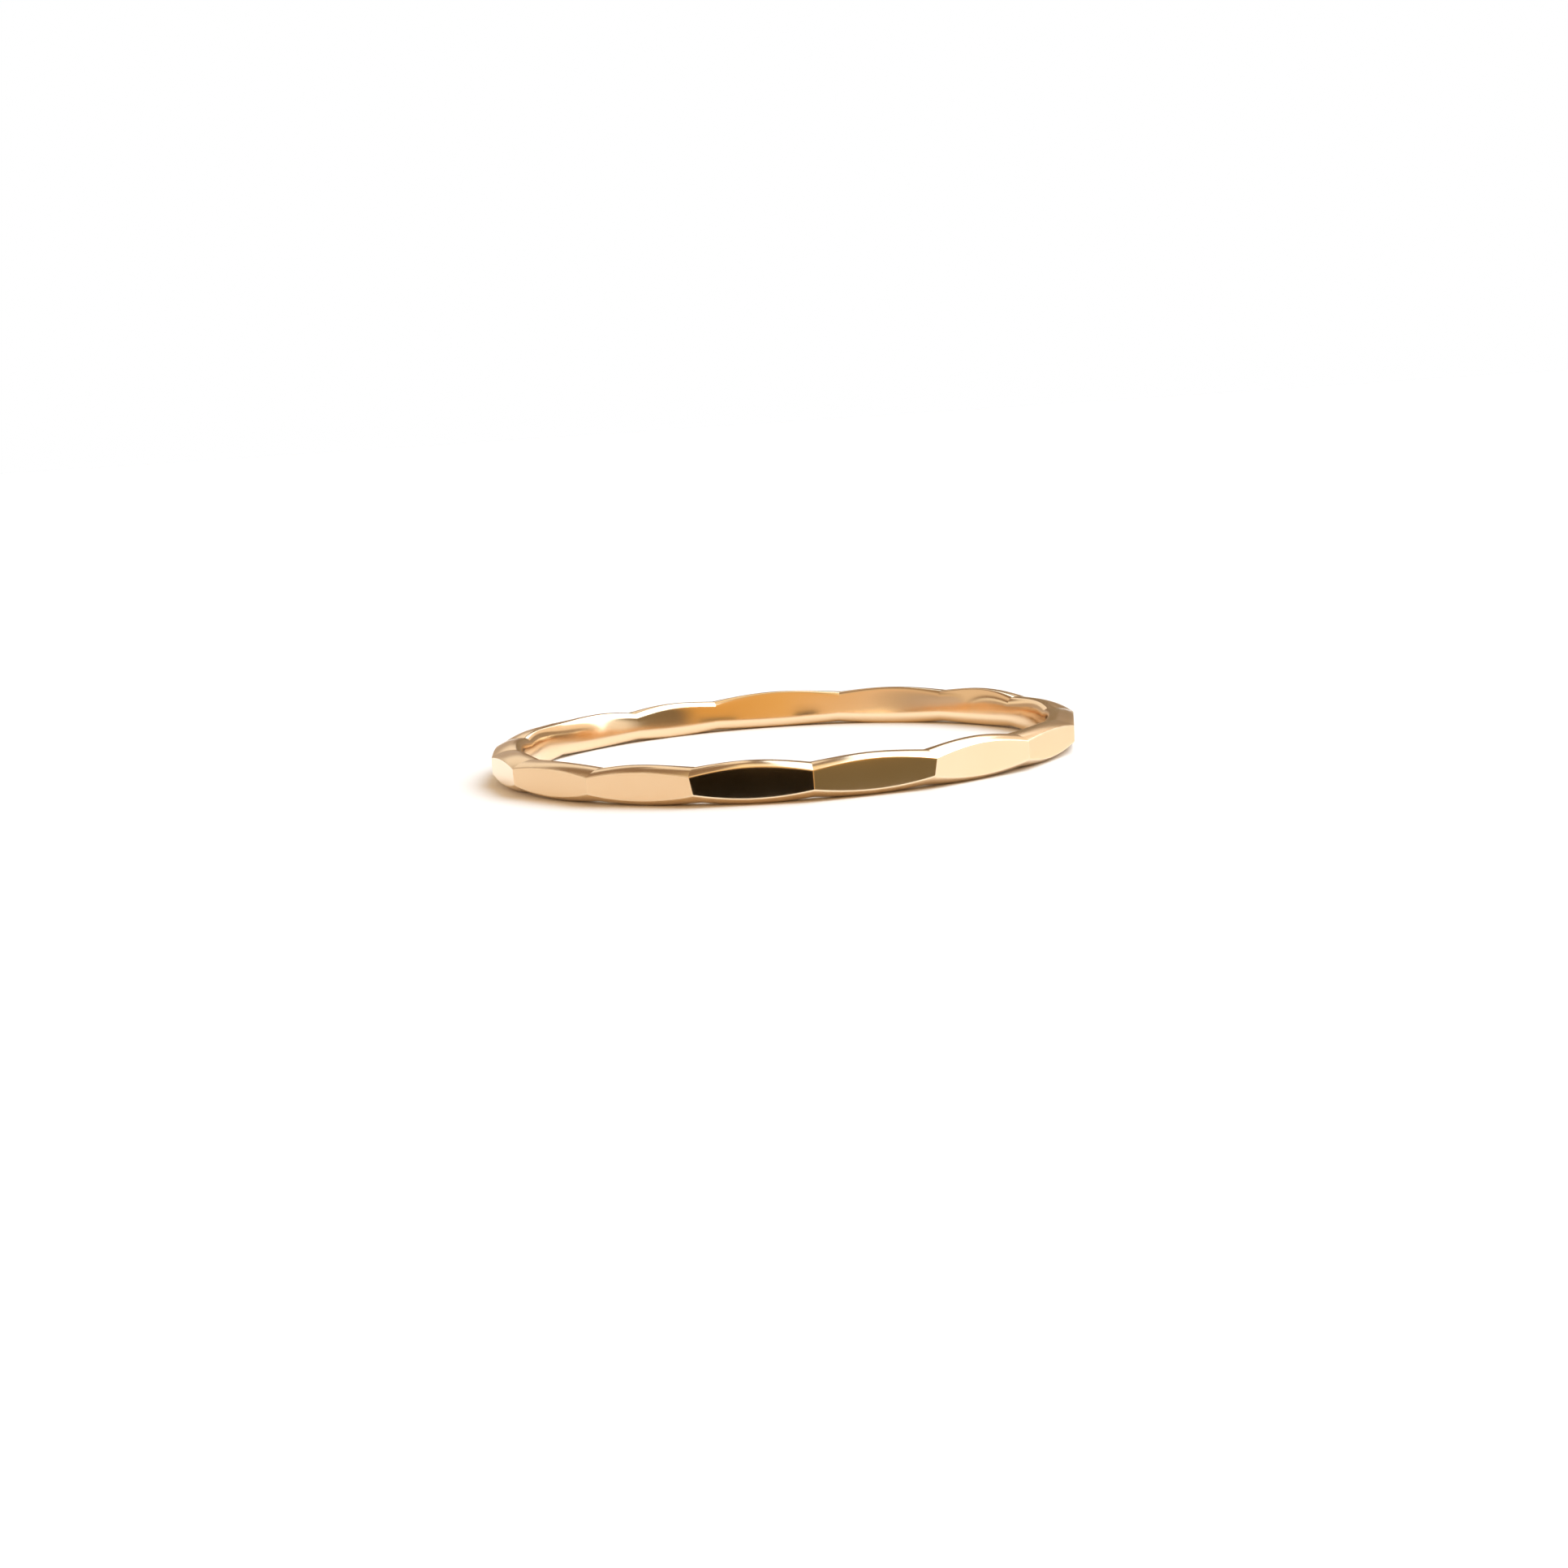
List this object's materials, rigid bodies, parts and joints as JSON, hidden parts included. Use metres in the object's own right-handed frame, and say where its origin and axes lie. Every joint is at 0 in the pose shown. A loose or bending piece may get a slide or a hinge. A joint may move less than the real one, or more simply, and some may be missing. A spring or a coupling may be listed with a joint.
{
  "type": "stackable ring",
  "caption": "Thin finger ring with a smooth round bore and a hammered, faceted outside, worn alone or stacked with others.",
  "frame": {"origin": "on the finger axis, at the height of the surface that the ring lies on", "axes": "+Z along the finger, up from the surface that the ring lies on; -Y towards the side that the picture shows in front; +X to the right"},
  "size_m": [0.0191, 0.0188, 0.0013],
  "materials": {
    "polished_gold": "polished, yellow gold"
  },
  "bodies": {
    "root": {"hammered_band": "polished_gold"}
  },
  "joints": []
}
